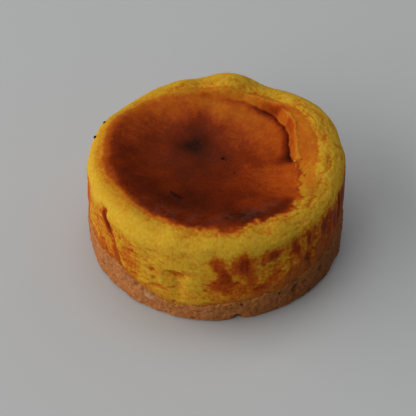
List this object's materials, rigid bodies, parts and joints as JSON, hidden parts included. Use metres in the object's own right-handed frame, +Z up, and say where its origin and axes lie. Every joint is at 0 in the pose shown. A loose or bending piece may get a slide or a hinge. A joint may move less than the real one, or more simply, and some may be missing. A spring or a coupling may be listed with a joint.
{
  "type": "cheesecake",
  "caption": "Small round baked cheesecake: a browned, sunken top inside an uneven golden rim, on a thin biscuit base.",
  "frame": {"origin": "middle of the flat underside, under the middle of the cake", "axes": "+Z up; the front of the cake, the side that the picture shows, faces -Y; +X is to the right in that view"},
  "size_m": [0.0759, 0.0759, 0.0327],
  "materials": {
    "biscuit": "dry pressed biscuit crumb, tan to light brown, fine pores",
    "cheese": "moist golden baked cheese with a fine torn crumb, its top and parts of its side browned by the oven"
  },
  "bodies": {
    "root": {"biscuit_base": "biscuit", "cheese_layer": "cheese"}
  },
  "joints": []
}
